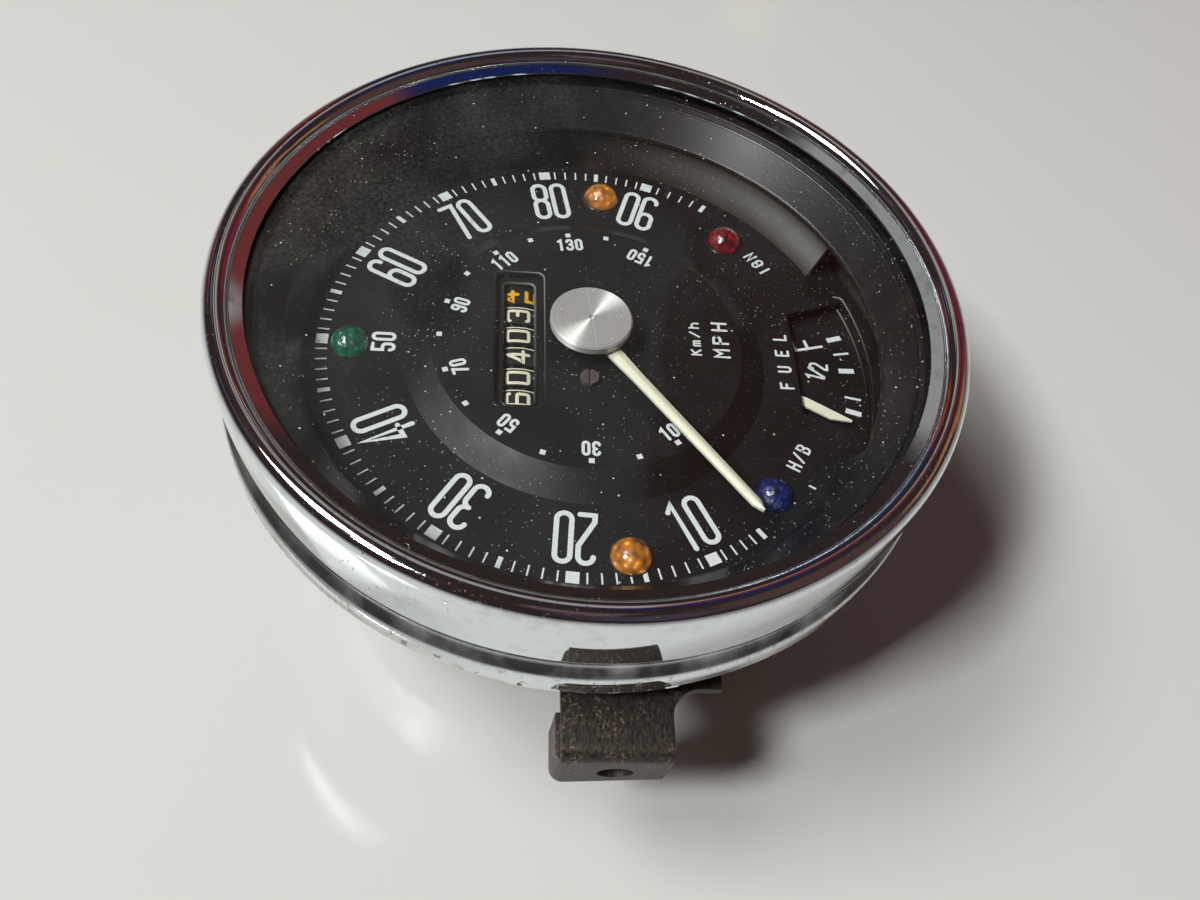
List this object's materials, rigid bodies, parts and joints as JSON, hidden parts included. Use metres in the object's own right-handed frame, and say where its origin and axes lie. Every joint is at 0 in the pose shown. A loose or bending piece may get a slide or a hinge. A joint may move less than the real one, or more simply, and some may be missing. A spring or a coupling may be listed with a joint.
{
  "type": "speedometer",
  "caption": "Round magnetic speedometer with a chrome bezel, drum odometer, inset fuel gauge, warning jewels and side brackets, driven by a flexible cable.",
  "frame": {"origin": "centre of the plane that the cable boss and the lamp holders rest on", "axes": "+Z along the dial's axis towards the viewer, +Y to the top of the dial, +X to the dial's right"},
  "size_m": [0.1474, 0.1334, 0.0777],
  "materials": {
    "chrome": "polished, pitted in places",
    "clear_glass": "dusty and lightly scratched",
    "black_rubber": "matt",
    "surround_black": "satin",
    "dial_black": "satin, printed in off-white",
    "dark_screw": "darkened",
    "green_lens": "translucent",
    "amber_lens": "translucent",
    "blue_lens": "translucent",
    "red_lens": "translucent",
    "tube_plastic": "moulded",
    "plated_steel": "dull zinc plate",
    "weathered_steel": "weathered, speckled",
    "brass": "tarnished",
    "bronze": "plain",
    "holder_black": "moulded",
    "bulb_glass": "clear",
    "insulator": "pressed fibre",
    "casting": "die-cast",
    "steel": "ground",
    "aluminium": "turned",
    "pointer_cream": "satin",
    "gear_plastic": "moulded",
    "drum_black": "printed in cream"
  },
  "bodies": {
    "instrument": {"bezel": "chrome", "glass": "clear_glass", "glass_gasket": "black_rubber", "surround": "surround_black", "dial_plate": "dial_black", "dial_screws": "dark_screw", "green_jewel": "green_lens", "left_amber_jewel": "amber_lens", "right_amber_jewel": "amber_lens", "blue_jewel": "blue_lens", "red_jewel": "red_lens", "light_tubes": "tube_plastic", "case": "plated_steel", "case_gasket": "black_rubber", "left_bracket": "weathered_steel", "right_bracket": "weathered_steel", "bracket_rivets": "plated_steel", "cable_boss": "brass", "spindle_bush": "bronze", "lamp_holders": "holder_black", "bulbs": "bulb_glass", "stabiliser_can": "plated_steel", "stabiliser_blades": "brass", "fuel_studs": "brass", "fuel_insulators": "insulator", "fuel_nuts": "brass", "movement_screws": "plated_steel", "movement_frame": "casting", "frame_pillars": "brass", "bridge": "casting", "flux_ring": "bronze", "hairspring": "bronze", "odometer_frame": "brass", "drum_shaft": "steel", "pinion_shaft": "steel", "fuel_face": "dial_black", "fuel_frame": "brass", "bimetal_strip": "bronze"},
    "input": {"main_spindle": "steel", "magnet": "steel"},
    "cross_drive": {"cross_shaft": "steel", "worm_wheel": "gear_plastic"},
    "rocker": {"drive_rocker": "steel"},
    "speed_pointer": {"pointer": "pointer_cream", "hub_cap": "aluminium", "pointer_staff": "steel", "drag_cup": "aluminium"},
    "fuel_pointer": {"fuel_needle": "pointer_cream"},
    "tenths_wheel": {"tenths_drum": "drum_black", "ratchet_wheel": "brass"},
    "units_wheel": {"units_drum": "drum_black"},
    "tens_wheel": {"tens_drum": "drum_black"},
    "hundreds_wheel": {"hundreds_drum": "drum_black"},
    "thousands_wheel": {"thousands_drum": "drum_black"},
    "ten_thousands_wheel": {"ten_thousands_drum": "drum_black"},
    "pinion_1": {"carry_pinion_1": "gear_plastic"},
    "pinion_2": {"carry_pinion_2": "gear_plastic"},
    "pinion_3": {"carry_pinion_3": "gear_plastic"},
    "pinion_4": {"carry_pinion_4": "gear_plastic"},
    "pinion_5": {"carry_pinion_5": "gear_plastic"}
  },
  "joints": [
    {"name": "input_spin", "type": "hinge", "parent": "instrument", "child": "input", "pos_m": [0, 0, 0.02], "axis": [0, 0, 1], "continuous": true},
    {"name": "cross_shaft_spin", "type": "hinge", "parent": "instrument", "child": "cross_drive", "pos_m": [0, 0.0103, 0.0225], "axis": [1, 0, 0], "continuous": true},
    {"name": "rocker_swing", "type": "hinge", "parent": "instrument", "child": "rocker", "pos_m": [0.0159, 0.0128, 0.034], "axis": [1, 0, 0], "range_deg": [-2.5, 2.5]},
    {"name": "pointer_turn", "type": "hinge", "parent": "instrument", "child": "speed_pointer", "pos_m": [0, 0, 0.0646], "axis": [0, 0, -1], "range_deg": [0, 248], "stiffness_Nm_per_rad": 0.0002},
    {"name": "fuel_needle_turn", "type": "hinge", "parent": "instrument", "child": "fuel_pointer", "pos_m": [0, -0.0216, 0.0561], "axis": [0, 0, 1], "range_deg": [0, 42], "stiffness_Nm_per_rad": 0.0002},
    {"name": "tenths_turn", "type": "hinge", "parent": "instrument", "child": "tenths_wheel", "pos_m": [0, 0.0128, 0.0509], "axis": [-1, 0, 0], "continuous": true},
    {"name": "units_turn", "type": "hinge", "parent": "instrument", "child": "units_wheel", "pos_m": [0, 0.0128, 0.0509], "axis": [-1, 0, 0], "continuous": true},
    {"name": "tens_turn", "type": "hinge", "parent": "instrument", "child": "tens_wheel", "pos_m": [0, 0.0128, 0.0509], "axis": [-1, 0, 0], "continuous": true},
    {"name": "hundreds_turn", "type": "hinge", "parent": "instrument", "child": "hundreds_wheel", "pos_m": [0, 0.0128, 0.0509], "axis": [-1, 0, 0], "continuous": true},
    {"name": "thousands_turn", "type": "hinge", "parent": "instrument", "child": "thousands_wheel", "pos_m": [0, 0.0128, 0.0509], "axis": [-1, 0, 0], "continuous": true},
    {"name": "ten_thousands_turn", "type": "hinge", "parent": "instrument", "child": "ten_thousands_wheel", "pos_m": [0, 0.0128, 0.0509], "axis": [-1, 0, 0], "continuous": true},
    {"name": "pinion_1_turn", "type": "hinge", "parent": "instrument", "child": "pinion_1", "pos_m": [0, 0.024, 0.0509], "axis": [-1, 0, 0], "continuous": true},
    {"name": "pinion_2_turn", "type": "hinge", "parent": "instrument", "child": "pinion_2", "pos_m": [0, 0.024, 0.0509], "axis": [-1, 0, 0], "continuous": true},
    {"name": "pinion_3_turn", "type": "hinge", "parent": "instrument", "child": "pinion_3", "pos_m": [0, 0.024, 0.0509], "axis": [-1, 0, 0], "continuous": true},
    {"name": "pinion_4_turn", "type": "hinge", "parent": "instrument", "child": "pinion_4", "pos_m": [0, 0.024, 0.0509], "axis": [-1, 0, 0], "continuous": true},
    {"name": "pinion_5_turn", "type": "hinge", "parent": "instrument", "child": "pinion_5", "pos_m": [0, 0.024, 0.0509], "axis": [-1, 0, 0], "continuous": true}
  ],
  "couplings": [
    {"joint": "cross_shaft_spin", "follows": "input_spin", "ratio": 0.045455},
    {"joint": "tenths_turn", "follows": "input_spin", "ratio": 0.00071023},
    {"joint": "units_turn", "follows": "input_spin", "ratio": 0.000071023},
    {"joint": "tens_turn", "follows": "input_spin", "ratio": 0.0000071023},
    {"joint": "hundreds_turn", "follows": "input_spin", "ratio": 0.00000071023},
    {"joint": "thousands_turn", "follows": "input_spin", "ratio": 0.000000071023},
    {"joint": "ten_thousands_turn", "follows": "input_spin", "ratio": 0.0000000071023},
    {"joint": "pinion_1_turn", "follows": "input_spin", "ratio": -0.000000017756},
    {"joint": "pinion_2_turn", "follows": "input_spin", "ratio": -0.00000017756},
    {"joint": "pinion_3_turn", "follows": "input_spin", "ratio": -0.0000017756},
    {"joint": "pinion_4_turn", "follows": "input_spin", "ratio": -0.000017756},
    {"joint": "pinion_5_turn", "follows": "input_spin", "ratio": -0.00017756}
  ]
}
